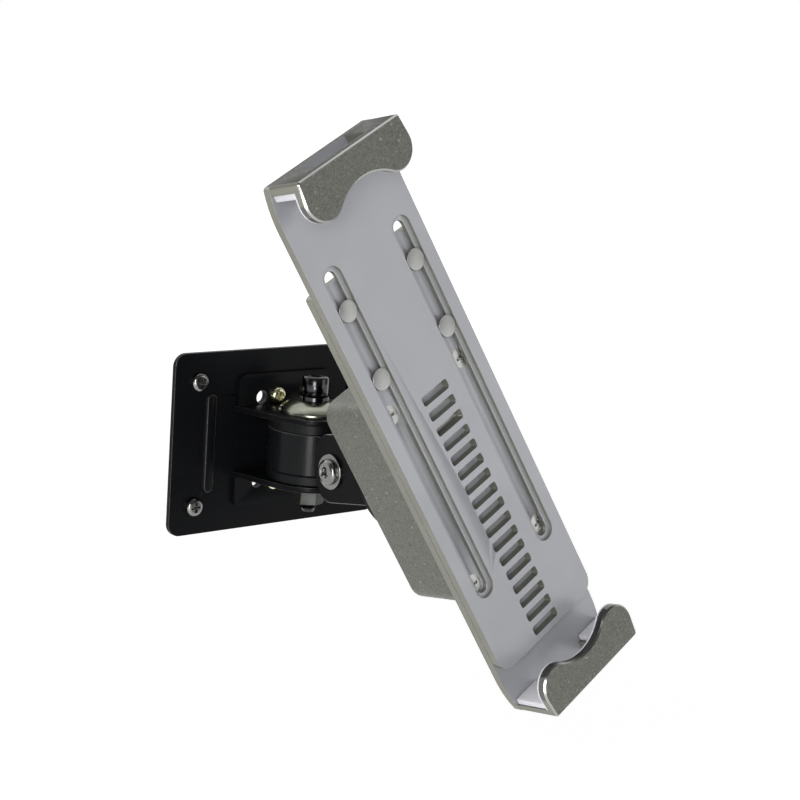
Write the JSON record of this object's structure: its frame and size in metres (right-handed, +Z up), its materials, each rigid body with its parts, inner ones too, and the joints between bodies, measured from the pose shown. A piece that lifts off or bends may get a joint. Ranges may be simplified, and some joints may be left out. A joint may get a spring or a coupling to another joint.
{
  "type": "locking tablet wall mount",
  "caption": "Wall plate with pan and tilt knuckle, round swivel and a key-locked sliding clamp whose two jaws grip a tablet by opposite corners.",
  "frame": {"origin": "centre of the wall plate's flat back face, which lies on the wall", "axes": "+X to the right seen from the front, +Y into the wall, +Z up; the held tablet faces -Y"},
  "size_m": [0.1413, 0.1574, 0.2056],
  "materials": {
    "black_plate": "gloss black powder coat",
    "black_bracket": "gloss black powder coat",
    "hub_black": "satin black enamel",
    "friction_plastic": "matt moulded plastic",
    "chrome_fastener": "bright plated",
    "steel_fastener": "turned and plated",
    "dark_oxide": "blackened steel",
    "zinc_screw": "yellow zinc",
    "jaw_paint": "silver-grey metallic paint with bright edges",
    "housing_paint": "silver-grey metallic paint",
    "jaw_pad": "pale moulded rubber",
    "lock_metal": "nickel plated",
    "plug_metal": "bare key plug",
    "inner_steel": "plain steel"
  },
  "bodies": {
    "wall": {"wall_plate": "black_plate", "wall_screws": "chrome_fastener", "upper_bracket_ear": "black_bracket", "lower_bracket_ear": "black_bracket", "bracket_screws": "zinc_screw", "pan_dome_washer": "steel_fastener", "pan_spring_washer": "steel_fastener", "pan_bolt": "dark_oxide", "pan_flat_washer": "chrome_fastener", "pan_lower_spring_washer": "steel_fastener", "pan_lock_nut": "steel_fastener"},
    "hub": {"knuckle": "hub_black", "upper_friction_disc": "friction_plastic", "lower_friction_disc": "friction_plastic", "tilt_friction_washers": "friction_plastic"},
    "fork": {"tilt_fork": "black_bracket", "tilt_bolt": "chrome_fastener", "tilt_washers": "chrome_fastener", "tilt_lock_nut": "steel_fastener", "swivel_plate": "black_bracket", "swivel_friction_disc": "friction_plastic", "swivel_inner_washer": "inner_steel", "swivel_bolt": "steel_fastener", "swivel_spring_washer": "steel_fastener", "swivel_nut": "steel_fastener"},
    "clamp": {"lower_jaw": "jaw_paint", "lower_jaw_pads": "jaw_pad", "lower_lip_pad": "jaw_pad", "guide_studs": "steel_fastener", "lock_housing": "housing_paint", "housing_screws": "steel_fastener", "lock_barrel": "lock_metal", "lock_barrel_nut": "lock_metal", "bolt_guide": "inner_steel"},
    "upper_arm": {"upper_jaw": "jaw_paint", "upper_jaw_pads": "jaw_pad", "upper_lip_pad": "jaw_pad"},
    "key_plug": {"lock_plug": "plug_metal", "lock_cam": "inner_steel"},
    "bolt": {"lock_bolt": "inner_steel"}
  },
  "joints": [
    {"name": "pan", "type": "hinge", "parent": "wall", "child": "hub", "pos_m": [0, -0.022, 0], "axis": [0, 0, 1], "range_deg": [-60, 60]},
    {"name": "tilt", "type": "hinge", "parent": "hub", "child": "fork", "pos_m": [0, -0.0575, 0], "axis": [-1, 0, 0], "range_deg": [-56, 34]},
    {"name": "swivel", "type": "hinge", "parent": "fork", "child": "clamp", "pos_m": [0, -0.12327, 0.01278], "axis": [0, -0.9816, 0.1908], "continuous": true},
    {"name": "jaw_slide", "type": "slide", "parent": "clamp", "child": "upper_arm", "axis": [-0.4772, 0.1677, 0.8627], "range_m": [-0.012, 0.084]},
    {"name": "key_turn", "type": "hinge", "parent": "clamp", "child": "key_plug", "pos_m": [0.00803, -0.09022, 0.03399], "axis": [0.8788, 0.091, 0.4684], "range_deg": [0, 90]},
    {"name": "bolt_slide", "type": "slide", "parent": "clamp", "child": "bolt", "axis": [0, -0.9816, 0.1908], "range_m": [0, 0.00269]}
  ],
  "couplings": [
    {"joint": "key_turn", "follows": "bolt_slide", "rad_per_m": 584.59}
  ]
}
